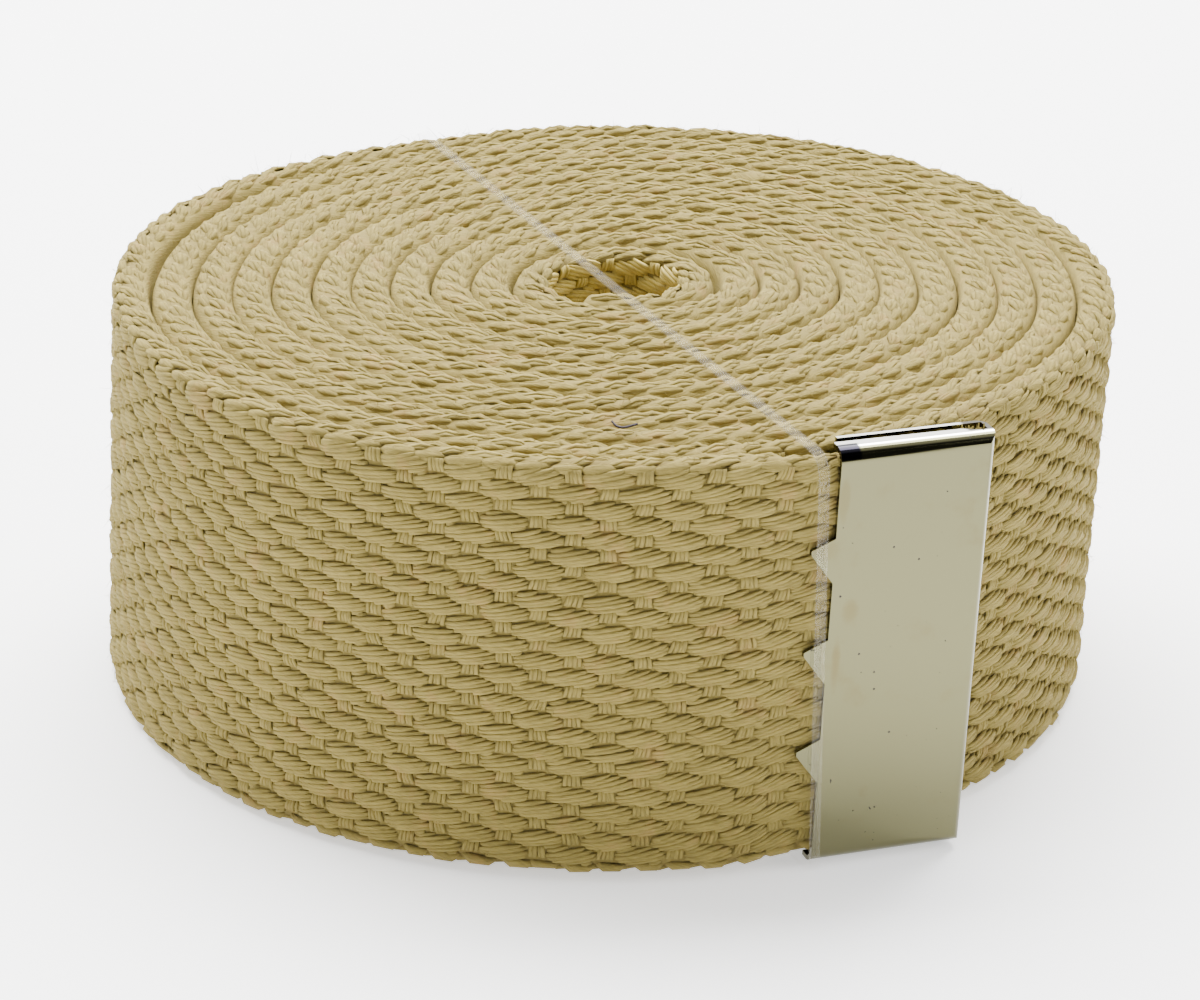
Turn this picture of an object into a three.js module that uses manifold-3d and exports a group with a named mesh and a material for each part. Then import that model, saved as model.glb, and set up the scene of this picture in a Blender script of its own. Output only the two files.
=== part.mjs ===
// A canvas web belt, wound flat into a roll: one long cotton web with a folded metal tip on its
// outer end, and a thin clear band round the whole roll that keeps it wound.
// Millimetres, +Z up. The roll stands on its web edges at z = 0, over the middle of its outline.
import * as THREE from "three";
import Module from "manifold-3d";
import { mergeVertices } from "three/addons/utils/BufferGeometryUtils.js";

const wasm = await Module();
wasm.setup();

// The web, a flat woven strap
const WEB_WIDTH = 32;
const WEB_THICKNESS = 2.75;
const WEB_EDGE_BEVEL = 0.75; // the round of the woven edges
const WEB_COLOUR = 0xb9a877;

// The roll that the web is wound into
const HOLE_RADIUS = 3.55; // left open inside the inner end
const TURNS = 11.14; // from the inner end to the point where the web leaves the roll
const TURN_GAP = 0.28; // air between two turns
const TURN_WANDER = 0.05; // the wound turns lie a little closer here and wider there
const LEAVING_ANGLE = -71.7; // degrees, seen from above, where the web leaves the roll
const LEAVING_LIFT = 0.35; // the last stretch stands off the turn below, to make room for the tip
const LIFT_ANGLE = 40; // degrees over which it lifts
const RISE_ANGLE = 60; // degrees over which it climbs, to clear the band below it
const LEAN = 1.25; // the top of the roll stands this far towards +X of its foot
const STEPS_PER_TURN = 36;

// Where hand winding left the turns out of round. back is degrees wound back from the leaving
// point, reach is degrees to either side, push is a share of the web's thickness, outwards.
const OUT_OF_ROUND = [
  { back: 130, reach: 42, push: 0.3, every_turn: false },
  { back: 170, reach: 30, push: -0.28, every_turn: true },
  { back: 1455, reach: 75, push: 0.04, every_turn: false },
  { back: 1815, reach: 75, push: -0.04, every_turn: false },
  { back: 3090, reach: 180, push: -0.04, every_turn: false },
  { back: 3450, reach: 180, push: -0.12, every_turn: false },
  { back: 3810, reach: 180, push: -0.35, every_turn: false },
];

// The folded metal tip
const TIP_LENGTH = 11.6;
const TIP_SHEET = 0.35; // thickness of the sheet metal
const TIP_CLEARANCE = 0.15; // between the sheet and the web in it
const TIP_LEAD = 2.25; // straight web between the leaving point and the mouth of the tip
const SQUEEZE = 0.5; // how far each face and each edge of the web is pressed in by the tip
const SQUEEZE_RUN = 4; // length over which the web thins towards the tip
const SHOULDER_RADIUS = 0.9; // bend between the front plate and its two flanges
const FOLD_RADIUS = 0.8; // bend at the free end
const BACK_SETBACK = 0.5; // the back plate is this much shorter at the mouth
const SLIT_AT_MOUTH = 0.2; // between a flange and the back plate
const SLIT_AT_FOLD = 0.7;
const FLANGE_LOW_END = 0.9; // the slanted end of a flange, from the free end of the tip
const FLANGE_HIGH_END = 2.2;
const BEND_STEPS = 5;
const TIP_COLOUR = 0xc9c8bb;

// The teeth on the mouth of the front plate, which bite into the web
const TOOTH_COUNT = 3;
const TOOTH_PITCH = 7.75;
const TOOTH_BASE = 3.4;
const TOOTH_REACH = 1.75;
const TOOTH_POINT = 0.3; // the blunt end of a tooth
const TOOTH_TILT = 0.8; // the point stands this far above the middle of its base

// The clear band round the roll
const BAND_WIDTH = 0.8;
const BAND_THICKNESS = 0.3;
const BAND_CLEARANCE = 0.2;
const BAND_TOP_BEND = 1.8; // how far from a corner of the roll the band starts to bend round it
const BAND_FOOT_BEND = 0.8;
const BAND_TOP_RUN = 0.8; // it comes over the upper rim this far past the leaving point
const BAND_FOOT_RUN = 2.4; // and goes under the lower rim this far past it
const BAND_BACK_TURN = 189; // degrees past the leaving point, where it climbs the back
const BAND_COLOUR = 0xe6e4da;

const turnPitch = WEB_THICKNESS + TURN_GAP;
const radians = THREE.MathUtils.degToRad;
const leaving = radians(LEAVING_ANGLE);
const smooth = (x) => THREE.MathUtils.smoothstep(x, 0, 1);
const tipWall = TIP_CLEARANCE + TIP_SHEET - SQUEEZE; // how far the tip stands out past the web
const endRise = BAND_THICKNESS + BAND_CLEARANCE + tipWall; // of the web's outer end

// Radius of the middle of the web, wound back by some degrees from the leaving point.
function webRadius(back) {
  const turnsIn = TURNS - back / 360;
  const even = HOLE_RADIUS + WEB_THICKNESS / 2 + turnPitch * turnsIn;
  const outermost = HOLE_RADIUS + WEB_THICKNESS / 2 + turnPitch * TURNS;
  let radius = even + TURN_WANDER * Math.sin(radians(back) / 3);
  for (const row of OUT_OF_ROUND) {
    const away = row.every_turn ? (back % 360) - row.back : back - row.back;
    const height = smooth(1 - Math.abs(away) / row.reach);
    radius += row.push * WEB_THICKNESS * height * (row.every_turn ? even / outermost : 1);
  }
  return radius + LEAVING_LIFT * smooth(1 - back / LIFT_ANGLE);
}

const onCircle = (angle, radius) =>
  new THREE.Vector2(Math.cos(angle), Math.sin(angle)).multiplyScalar(radius);

// Skins a row of rings of points into a closed mesh: capped at both ends, or joined end to start.
function loft(rings, joined = false) {
  const size = rings[0].length;
  const index = [];
  const spans = joined ? rings.length : rings.length - 1;
  for (let ring = 0; ring < spans; ring++) {
    const next = (ring + 1) % rings.length;
    for (let side = 0; side < size; side++) {
      const turned = (side + 1) % size;
      const near = ring * size;
      const far = next * size;
      index.push(near + side, near + turned, far + turned, near + side, far + turned, far + side);
    }
  }
  if (!joined) {
    const last = (rings.length - 1) * size;
    for (let side = 1; side < size - 1; side++) {
      index.push(0, side + 1, side, last, last + side, last + side + 1);
    }
  }
  const geometry = new THREE.BufferGeometry().setFromPoints(rings.flat());
  geometry.setIndex(index);
  return geometry;
}

function solid(geometry) {
  const bare = geometry.clone();
  bare.deleteAttribute("normal");
  bare.deleteAttribute("uv");
  const merged = mergeVertices(bare, 1e-4);
  return new wasm.Manifold(
    new wasm.Mesh({
      numProp: 3,
      vertProperties: merged.attributes.position.array,
      triVerts: new Uint32Array(merged.index.array),
    }),
  );
}

function geometryOf(body) {
  const mesh = body.getMesh();
  const geometry = new THREE.BufferGeometry();
  geometry.setAttribute("position", new THREE.BufferAttribute(mesh.vertProperties, mesh.numProp));
  geometry.setIndex(new THREE.BufferAttribute(mesh.triVerts, 1));
  return geometry;
}

function piece(name, geometry, finish) {
  geometry.computeVertexNormals();
  const mesh = new THREE.Mesh(geometry, new THREE.MeshStandardMaterial(finish));
  mesh.name = name;
  return mesh;
}

// One cross-section of the web: a flat bar on edge with bevelled edges. centre is in plan, out
// is the direction of its outer face, and grip is 0 on the free web and 1 inside the tip.
function webSection(centre, out, rise, grip) {
  const low = rise + SQUEEZE * grip;
  const high = rise + WEB_WIDTH - SQUEEZE * grip;
  const half = WEB_THICKNESS / 2 - SQUEEZE * grip;
  const flat = half - WEB_EDGE_BEVEL;
  const corners = [
    [-flat, low],
    [-half, low + WEB_EDGE_BEVEL],
    [-half, high - WEB_EDGE_BEVEL],
    [-flat, high],
    [flat, high],
    [half, high - WEB_EDGE_BEVEL],
    [half, low + WEB_EDGE_BEVEL],
    [flat, low],
  ];
  return corners.map(([aside, z]) => {
    const place = centre.clone().addScaledVector(out, aside);
    return new THREE.Vector3(place.x, place.y, z);
  });
}

const outFace = onCircle(leaving, 1);
const along = onCircle(leaving + Math.PI / 2, 1);
const leavingPoint = onCircle(leaving, webRadius(0));

// How firmly the tip holds the web at a distance before its mouth.
const gripAt = (before) => smooth(1 - (before - TOOTH_REACH) / SQUEEZE_RUN);

function woundWeb() {
  const rings = [];
  const steps = Math.ceil(TURNS * STEPS_PER_TURN);
  for (let step = 0; step <= steps; step++) {
    const back = 360 * TURNS * (1 - step / steps);
    const angle = leaving - radians(back);
    const radius = webRadius(back);
    const grip = gripAt(TIP_LEAD + radians(back) * radius);
    const rise = endRise * smooth(1 - back / RISE_ANGLE);
    rings.push(webSection(onCircle(angle, radius), onCircle(angle, 1), rise, grip));
  }
  const end = TIP_LEAD + TIP_LENGTH - TIP_SHEET - TIP_CLEARANCE;
  for (const run of [TIP_LEAD / 2, TIP_LEAD, end]) {
    const centre = leavingPoint.clone().addScaledVector(along, run);
    rings.push(webSection(centre, outFace, endRise, gripAt(TIP_LEAD - run)));
  }
  return loft(rings);
}

// The path of the band: its four corners, each with the length of its bend.
const bandOffset = BAND_CLEARANCE + BAND_THICKNESS / 2;
const bandTop = WEB_WIDTH + Math.max(endRise - SQUEEZE, 0) + bandOffset;
const bandFoot = BAND_THICKNESS / 2;
const frontReach = webRadius(0) + WEB_THICKNESS / 2 + Math.max(tipWall, 0) + bandOffset;
const onFront = (run) => onCircle(leaving, frontReach).addScaledVector(along, run);
const onBack = onCircle(
  radians(LEAVING_ANGLE + BAND_BACK_TURN),
  webRadius(360 - BAND_BACK_TURN) + WEB_THICKNESS / 2 + bandOffset,
);
const bandCorner = (plan, z, bend) => ({ point: new THREE.Vector3(plan.x, plan.y, z), bend });
const bandCorners = [
  bandCorner(onFront(BAND_TOP_RUN), bandTop, BAND_TOP_BEND),
  bandCorner(onFront(BAND_FOOT_RUN), bandFoot, BAND_FOOT_BEND),
  bandCorner(onBack, bandFoot, BAND_FOOT_BEND),
  bandCorner(onBack, bandTop, BAND_TOP_BEND),
];

function band() {
  const line = [];
  bandCorners.forEach(({ point, bend }, i) => {
    const towards = (other) => other.point.clone().sub(point).setLength(bend).add(point);
    const before = towards(bandCorners[(i + 3) % 4]);
    const after = towards(bandCorners[(i + 1) % 4]);
    line.push(...new THREE.QuadraticBezierCurve3(before, point, after).getPoints(BEND_STEPS));
  });
  const across = bandCorners[0].point.clone().sub(bandCorners[3].point).setZ(0).normalize();
  const side = new THREE.Vector3(-across.y, across.x, 0);
  const rings = line.map((point, i) => {
    const ahead = line[(i + 1) % line.length];
    const behind = line[(i + line.length - 1) % line.length];
    const out = ahead.clone().sub(behind).cross(side).setLength(BAND_THICKNESS / 2);
    const wide = side.clone().setLength(BAND_WIDTH / 2);
    return [
      point.clone().add(out).add(wide),
      point.clone().add(out).sub(wide),
      point.clone().sub(out).sub(wide),
      point.clone().sub(out).add(wide),
    ];
  });
  return loft(rings, true);
}

// The groove that the taut band presses into the lower edges of the web.
function bandGroove() {
  const front = bandCorners[1].point;
  const back = bandCorners[2].point;
  const run = front.clone().sub(back);
  const box = new THREE.BoxGeometry(
    run.length() + 2 * bandOffset,
    BAND_WIDTH + 2 * BAND_CLEARANCE,
    2 * (BAND_THICKNESS + BAND_CLEARANCE),
  );
  box.rotateZ(Math.atan2(run.y, run.x));
  box.translate((front.x + back.x) / 2, (front.y + back.y) / 2, 0);
  return box;
}

// The tip is made with its mouth at x = 0, its free end towards +X and its front plate on -Y.
const tipHalf = WEB_THICKNESS / 2 + tipWall;
const tipFoot = endRise - tipWall;
const tipTop = endRise + WEB_WIDTH + tipWall;

// A rectangle with two of its corners rounded, from low to high.
function softRectangle(low, high, radius, firstRound) {
  const shape = new THREE.Shape();
  const corners = [
    [low.x, low.y],
    [high.x, low.y],
    [high.x, high.y],
    [low.x, high.y],
  ];
  corners.forEach(([x, y], i) => {
    const round = i === firstRound || i === (firstRound + 1) % 4 ? radius : 0;
    const toX = x === low.x ? 1 : -1;
    const toY = y === low.y ? 1 : -1;
    const centre = [x + toX * round, y + toY * round];
    const start = Math.PI * (1 + i / 2);
    for (let step = 0; step <= (round ? BEND_STEPS : 0); step++) {
      const turn = start + (Math.PI / 2) * (step / BEND_STEPS);
      const px = centre[0] + round * Math.cos(turn);
      const py = centre[1] + round * Math.sin(turn);
      if (i === 0 && step === 0) shape.moveTo(px, py);
      else shape.lineTo(px, py);
    }
  });
  return shape;
}

// A box of that length, thickness and height whose front and free end are bent round.
function bentBox(from, length, half, low, high, shoulder, fold) {
  const flat = { depth: high - low, bevelEnabled: false };
  const planShape = softRectangle({ x: from, y: -half }, { x: length, y: half }, fold, 1);
  const plan = new THREE.ExtrudeGeometry(planShape, flat).translate(0, 0, low);
  const endShape = softRectangle({ x: -half, y: low }, { x: half, y: high }, shoulder, 3);
  const profile = new THREE.ExtrudeGeometry(endShape, { depth: length - from, bevelEnabled: false });
  // The profile is drawn in Y and Z and runs along X.
  profile.rotateX(Math.PI / 2).rotateZ(Math.PI / 2).translate(from, 0, 0);
  return solid(plan).intersect(solid(profile));
}

function mouthTeeth() {
  const middle = (tipFoot + tipTop) / 2;
  const teeth = [];
  for (let i = 0; i < TOOTH_COUNT; i++) {
    const z = middle + (i - (TOOTH_COUNT - 1) / 2) * TOOTH_PITCH;
    const shape = new THREE.Shape();
    shape.moveTo(TIP_SHEET, z - TOOTH_BASE / 2);
    shape.lineTo(TIP_SHEET, z + TOOTH_BASE / 2);
    shape.lineTo(0, z + TOOTH_BASE / 2);
    shape.lineTo(-TOOTH_REACH, z + TOOTH_TILT + TOOTH_POINT / 2);
    shape.lineTo(-TOOTH_REACH, z + TOOTH_TILT - TOOTH_POINT / 2);
    shape.lineTo(0, z - TOOTH_BASE / 2);
    const tooth = new THREE.ExtrudeGeometry(shape, { depth: TIP_SHEET, bevelEnabled: false });
    teeth.push(solid(tooth.rotateX(Math.PI / 2).translate(0, TIP_SHEET - tipHalf, 0)));
  }
  return teeth;
}

function foldedTip() {
  const inner = tipHalf - TIP_SHEET;
  const bend = (radius) => Math.max(radius - TIP_SHEET, TIP_SHEET / 4);
  const outside = bentBox(0, TIP_LENGTH, tipHalf, tipFoot, tipTop, SHOULDER_RADIUS, FOLD_RADIUS);
  const inside = bentBox(
    -TIP_SHEET,
    TIP_LENGTH - TIP_SHEET,
    inner,
    tipFoot + TIP_SHEET,
    tipTop - TIP_SHEET,
    bend(SHOULDER_RADIUS),
    bend(FOLD_RADIUS),
  );
  // Each flange stops short of the back plate, and is slanted beside the fold.
  const gap = new THREE.Shape();
  gap.moveTo(-TIP_SHEET, inner);
  gap.lineTo(-TIP_SHEET, inner - SLIT_AT_MOUTH);
  gap.lineTo(TIP_LENGTH - FLANGE_HIGH_END, inner - SLIT_AT_FOLD);
  gap.lineTo(TIP_LENGTH - FLANGE_LOW_END, SHOULDER_RADIUS - tipHalf);
  gap.lineTo(TIP_LENGTH - TIP_SHEET, SHOULDER_RADIUS - tipHalf);
  gap.lineTo(TIP_LENGTH - TIP_SHEET, inner);
  const slits = [tipFoot, tipTop].map((edge) => {
    const cut = new THREE.ExtrudeGeometry(gap, { depth: 4 * TIP_SHEET, bevelEnabled: false });
    return solid(cut.translate(0, 0, edge - 2 * TIP_SHEET));
  });
  const shortened = new THREE.BoxGeometry(2 * BACK_SETBACK, 2 * TIP_SHEET, 2 * (tipTop - tipFoot));
  const setback = solid(shortened.translate(0, tipHalf, (tipFoot + tipTop) / 2));
  const cuts = [inside, ...slits, setback];
  const folded = cuts.reduce((body, cut) => body.subtract(cut), outside);
  return geometryOf(mouthTeeth().reduce((body, tooth) => body.add(tooth), folded));
}

const webbing = piece(
  "webbing",
  geometryOf(solid(woundWeb()).subtract(solid(bandGroove()))),
  { color: WEB_COLOUR, roughness: 0.95, metalness: 0 },
);
const metalTip = piece("metal_tip", foldedTip(), { color: TIP_COLOUR, roughness: 0.2, metalness: 1 });
const mouth = leavingPoint.clone().addScaledVector(along, TIP_LEAD);
metalTip.position.set(mouth.x, mouth.y, 0);
metalTip.rotation.z = leaving + Math.PI / 2;
const clearBand = piece("clear_band", band(), { color: BAND_COLOUR, roughness: 0.15, metalness: 0 });

// The whole roll leans, and stands over the middle of its outline.
const leaning = new THREE.Group();
leaning.add(webbing, metalTip, clearBand);
leaning.matrixAutoUpdate = false;
leaning.matrix.makeShear(0, 0, 0, 0, LEAN / WEB_WIDTH, 0);

const belt = new THREE.Group();
belt.name = "rolled_web_belt";
belt.add(leaning);
belt.updateMatrixWorld(true);
const outline = new THREE.Box3().setFromObject(belt, true).getCenter(new THREE.Vector3());
belt.position.set(-outline.x, -outline.y, 0);

export default belt;
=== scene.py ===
# %% [markdown]
# A canvas web belt, rolled up
# The belt is one long cotton web, about a metre and a half of it, wound flat into a roll that
# stands on its edge. A folded metal tip grips its outer end, and a thin clear band holds the roll.
# The measured model gives where everything lies. This lesson dresses it yarn by yarn, because a
# heavy web like this is seen as its yarns: long floats on the face, short weft strands between
# them, and a braided look along both edges.

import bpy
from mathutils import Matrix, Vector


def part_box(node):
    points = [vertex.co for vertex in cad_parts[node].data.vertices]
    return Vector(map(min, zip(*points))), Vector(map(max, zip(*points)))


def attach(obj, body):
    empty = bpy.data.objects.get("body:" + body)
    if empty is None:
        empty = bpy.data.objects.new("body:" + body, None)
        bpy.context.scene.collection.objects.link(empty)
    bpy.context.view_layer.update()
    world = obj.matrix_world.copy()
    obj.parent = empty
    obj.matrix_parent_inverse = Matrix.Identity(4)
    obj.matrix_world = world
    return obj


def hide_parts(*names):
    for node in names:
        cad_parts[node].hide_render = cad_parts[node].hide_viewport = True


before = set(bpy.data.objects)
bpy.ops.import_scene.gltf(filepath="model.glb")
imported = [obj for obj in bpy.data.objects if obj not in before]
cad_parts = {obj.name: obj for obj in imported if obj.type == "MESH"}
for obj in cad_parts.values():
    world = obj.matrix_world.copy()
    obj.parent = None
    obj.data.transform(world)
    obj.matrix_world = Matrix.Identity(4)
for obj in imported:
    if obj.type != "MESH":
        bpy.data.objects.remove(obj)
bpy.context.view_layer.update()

# %% Other tools of the lesson
import math

import bpy
import numpy as np
from mathutils import Matrix, Vector

MM = 0.001  # a millimetre, in Blender's metres


def linked(name, data):
    """A new object with that data, put in the scene."""
    made = bpy.data.objects.new(name, data)
    bpy.context.scene.collection.objects.link(made)
    return made


# %% [markdown]
# The route of the web
# A wound web is a flat strip that follows a spiral. Any point of it has three numbers: how far back
# along the web it lies, how far out from the middle of its thickness, and how high above its lower
# edge. So the sizes of the roll come first, as in the measured model, and then one function that
# turns those numbers into a place in the roll. Every yarn is drawn flat and wound up by it.

# %% Sizes of the web and of the roll
WEB_WIDTH = 32 * MM
WEB_THICKNESS = 2.75 * MM
HOLE_RADIUS = 3.55 * MM  # left open inside the inner end
TURNS = 11.14
TURN_GAP = 0.28 * MM
TURN_WANDER = 0.05 * MM
LEAVING_ANGLE = -71.7  # degrees, seen from above, where the web leaves the roll
LEAVING_LIFT = 0.35 * MM
LIFT_ANGLE = 40
RISE_ANGLE = 60
LEAN = 1.25 * MM  # the top of the roll stands this far towards +X of its foot
STEPS_PER_TURN = 36  # of the measured model
WEB_EDGE_BEVEL = 0.75 * MM  # of the measured model
HALF = WEB_THICKNESS / 2

# Where hand winding left the turns out of round: degrees wound back from the leaving point,
# degrees to either side, the push outwards as a share of the thickness, and whether every turn
# has it.
OUT_OF_ROUND = [
    (130, 42, 0.3, False),
    (170, 30, -0.28, True),
    (1455, 75, 0.04, False),
    (1815, 75, -0.04, False),
    (3090, 180, -0.04, False),
    (3450, 180, -0.12, False),
    (3810, 180, -0.35, False),
]

# %% Sizes of the tip and of the band
TIP_LENGTH = 11.6 * MM
TIP_SHEET = 0.35 * MM
TIP_CLEARANCE = 0.15 * MM
TIP_LEAD = 2.25 * MM  # straight web before the mouth of the tip
SQUEEZE = 0.5 * MM
SQUEEZE_RUN = 4 * MM
TOOTH_REACH = 1.75 * MM
BAND_WIDTH = 0.8 * MM
BAND_THICKNESS = 0.3 * MM
BAND_CLEARANCE = 0.2 * MM
BAND_TOP_RUN = 0.8 * MM
BAND_FOOT_RUN = 2.4 * MM
BAND_BACK_TURN = 189
TIP_WALL = TIP_CLEARANCE + TIP_SHEET - SQUEEZE
END_RISE = BAND_THICKNESS + BAND_CLEARANCE + TIP_WALL

# %% The spiral
leaving = math.radians(LEAVING_ANGLE)
out_face = np.array([math.cos(leaving), math.sin(leaving)])
along = np.array([-out_face[1], out_face[0]])


def smooth(x):
    x = np.clip(x, 0, 1)
    return x * x * (3 - 2 * x)


def unit(vectors):
    return vectors / np.linalg.norm(vectors, axis=-1, keepdims=True)


def web_radius(back):
    """Radius of the middle of the web, wound back by some degrees from the leaving point."""
    pitch = WEB_THICKNESS + TURN_GAP
    even = HOLE_RADIUS + HALF + pitch * (TURNS - back / 360)
    outermost = HOLE_RADIUS + HALF + pitch * TURNS
    radius = even + TURN_WANDER * np.sin(np.radians(back) / 3)
    for middle, reach, push, every_turn in OUT_OF_ROUND:
        away = (back % 360 if every_turn else back) - middle
        share = even / outermost if every_turn else 1
        radius = radius + push * WEB_THICKNESS * smooth(1 - np.abs(away) / reach) * share
    return radius + LEAVING_LIFT * smooth(1 - back / LIFT_ANGLE)


# The length of web that lies wound up to each angle
TABLE_ROWS = 40001
back_table = np.linspace(0, 360 * TURNS, TABLE_ROWS)
radius_table = web_radius(back_table)
steps = np.hypot(
    np.diff(radius_table),
    np.radians(np.diff(back_table)) * (radius_table[1:] + radius_table[:-1]) / 2,
)
wound_table = np.concatenate([[0], np.cumsum(steps)])
WOUND = wound_table[-1]
print(f"wound web: {WOUND:.3f} m")

# %% From the flat web to the roll
leaving_point = out_face * web_radius(0)
band_front = leaving_point + out_face * (
    HALF + max(TIP_WALL, 0) + BAND_CLEARANCE + BAND_THICKNESS / 2
)
back_angle = leaving + math.radians(BAND_BACK_TURN)
band_back = np.array([math.cos(back_angle), math.sin(back_angle)]) * (
    web_radius(360 - BAND_BACK_TURN) + HALF + BAND_CLEARANCE + BAND_THICKNESS / 2
)
band_foot = band_front + along * BAND_FOOT_RUN
band_course = unit(band_back - band_foot)
GROOVE = BAND_THICKNESS + BAND_CLEARANCE  # how deep the taut band presses into the lower edges
GROOVE_MARGIN = 0.3 * MM  # to either side of the band
GROOVE_SLOPE = 0.8 * MM
GROOVE_FADE = 3 * MM  # up the web


def leant(plan_x, plan_y, high, shift=(0, 0)):
    return np.stack([plan_x + LEAN * high / WEB_WIDTH + shift[0], plan_y + shift[1], high], -1)


def wind(points, shift=None):
    """Winds points of the flat web, each (length back, out from the middle, height), into the roll."""
    back_length, out, height = np.moveaxis(np.asarray(points, float), -1, 0)
    back = np.interp(back_length, wound_table, back_table)
    radius = np.interp(back_length, wound_table, radius_table)
    angle = leaving - np.radians(back)
    straight = np.maximum(-back_length, 0)
    grip = smooth(1 - (TIP_LEAD + back_length - TOOTH_REACH) / SQUEEZE_RUN)
    rise = END_RISE * smooth(1 - back / RISE_ANGLE)
    reach = radius + out * (1 - SQUEEZE * grip / HALF)
    x = reach * np.cos(angle) + straight * along[0]
    y = reach * np.sin(angle) + straight * along[1]
    high = rise + SQUEEZE * grip + height * (1 - 2 * SQUEEZE * grip / WEB_WIDTH)
    aside = np.abs((x - band_foot[0]) * band_course[1] - (y - band_foot[1]) * band_course[0])
    near = smooth(1 - (aside - BAND_WIDTH / 2 - GROOVE_MARGIN) / GROOVE_SLOPE)
    low = smooth(1 - height / GROOVE_FADE)
    high = high + np.maximum(GROOVE - rise, 0) * near * low
    return leant(x, y, high, roll_shift if shift is None else shift)


# %% Line up with the measured model
# The corners of the measured web's sections tell how far the model was centred.
count = math.ceil(TURNS * STEPS_PER_TURN)
back = 360 * TURNS * (1 - np.arange(count + 1) / count)
length = np.interp(back, back_table, wound_table)
heights = (WEB_EDGE_BEVEL, WEB_WIDTH - WEB_EDGE_BEVEL)
rings = [(s, out, height) for out in (-HALF, HALF) for height in heights for s in length]
rings = wind(rings, shift=(0, 0))
ring_centre = (rings.min(0) + rings.max(0)) / 2
web_low, web_high = (np.array(corner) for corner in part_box("webbing"))
roll_shift = ((web_low + web_high) / 2 - ring_centre)[:2]
print("centring, mm:", np.round(roll_shift / MM, 3))
print("size off, mm:", np.round(((rings.max(0) - rings.min(0)) - (web_high - web_low)) / MM, 3))

# %% [markdown]
# The camera
# The photograph looks down on the roll from a little over twenty degrees, with a long lens, so
# the two edges of the face stay nearly parallel. The camera's place was worked out from the
# outline of the roll. It is set by its own axes, because it is turned a fraction of a degree.

# %% Camera
CAMERA_ELEVATION = 22.844
CAMERA_ROLL = 0.695
CAMERA_DISTANCE = 327.376 * MM
CAMERA_TARGET = (-1.804 * MM, 0, 12.804 * MM)  # from the axis of the roll at its top
PHOTO_WIDTH = 1200
FOCAL_PIXELS = 4150.94
SENSOR = 36  # Blender's unit for lenses, a millimetre on the sensor

tilt = math.radians(CAMERA_ELEVATION)
turn = math.radians(CAMERA_ROLL)
backwards = Vector((0, -math.cos(tilt), math.sin(tilt)))
level = Vector((1, 0, 0))
upright = backwards.cross(level)
right = level * math.cos(turn) + upright * math.sin(turn)
upward = upright * math.cos(turn) - level * math.sin(turn)
axis_top = Vector((LEAN + roll_shift[0], roll_shift[1], 0))

camera = linked("camera", bpy.data.cameras.new("camera"))
camera.data.sensor_width = SENSOR
camera.data.lens = SENSOR * FOCAL_PIXELS / PHOTO_WIDTH
camera.data.clip_start = 0.01
camera.data.clip_end = 20
spot = Vector(CAMERA_TARGET) + axis_top + backwards * CAMERA_DISTANCE
camera.matrix_world = Matrix.Translation(spot) @ Matrix((right, upward, backwards)).transposed().to_4x4()
bpy.context.scene.camera = camera
print("camera at", [round(c, 4) for c in spot], "lens", round(camera.data.lens, 2))

# %% [markdown]
# Shader maths as sums
# Blender draws shader maths as boxes and wires. Here a small class stands for one wire, and its
# operators add the boxes, so that a recipe reads like a formula. Colours go through a Mix node
# instead, because a Math node turns a colour grey.


# %% A wire that can be added and multiplied
def sign(operation, turned=False):
    """What one sign of a formula does to a wire and what stands after it, or before if turned."""
    def worked_out(wire, other):
        return wire.maths(operation, *((other, wire) if turned else (wire, other)))
    return worked_out


class Wire:
    def __init__(self, recipe, socket):
        self.recipe = recipe
        self.socket = socket

    def maths(self, operation, *inputs, clamp=False):
        settings = {"operation": operation, "use_clamp": clamp}
        return self.recipe.node("ShaderNodeMath", settings, dict(enumerate(inputs)))

    def clamped(self):
        return self.maths("ADD", self, 0, clamp=True)

    __add__ = __radd__ = sign("ADD")
    __sub__ = sign("SUBTRACT")
    __rsub__ = sign("SUBTRACT", turned=True)
    __mul__ = __rmul__ = sign("MULTIPLY")
    __truediv__ = sign("DIVIDE")
    __pow__ = sign("POWER")


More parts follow.
